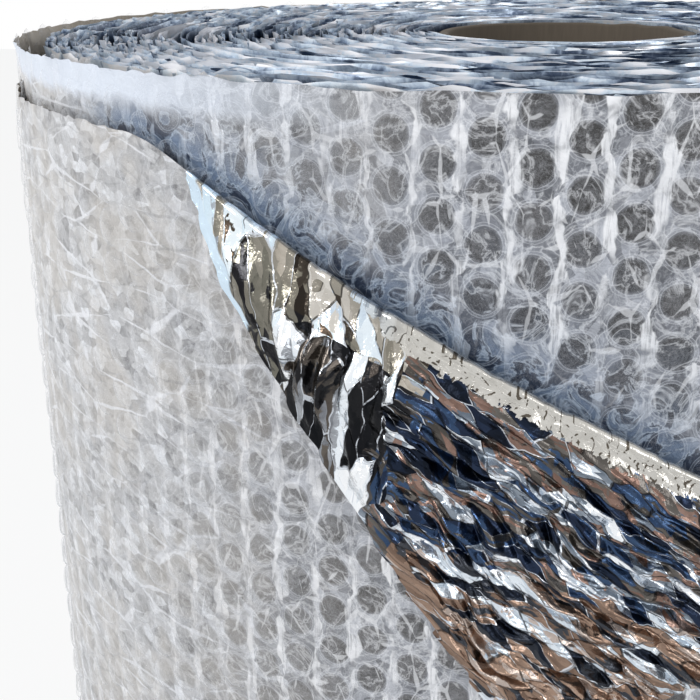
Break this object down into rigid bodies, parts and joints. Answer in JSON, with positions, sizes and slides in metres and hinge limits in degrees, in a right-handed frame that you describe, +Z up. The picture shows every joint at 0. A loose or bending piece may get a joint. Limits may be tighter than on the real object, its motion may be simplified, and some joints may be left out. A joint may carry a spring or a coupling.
{
  "type": "foil bubble insulation roll",
  "caption": "Roll of foil-backed bubble insulation wound on a cardboard tube, standing on its end, outer turn slipped and its free corner folded back to show the foil.",
  "frame": {"origin": "on the axis of the cardboard tube, at the roll's bottom face", "axes": "+Z up along the tube's axis; -Y towards the picture's camera, the side with the folded corner; -X towards the side where the outer turns have come loose"},
  "size_m": [0.3456, 0.3418, 0.6],
  "materials": {
    "foil_bubble": "clear bubble film over bright aluminium foil",
    "core_board": "matt brown wound paper tube"
  },
  "bodies": {
    "root": {"bubble_sheet": "foil_bubble", "core_tube": "core_board"}
  },
  "joints": []
}
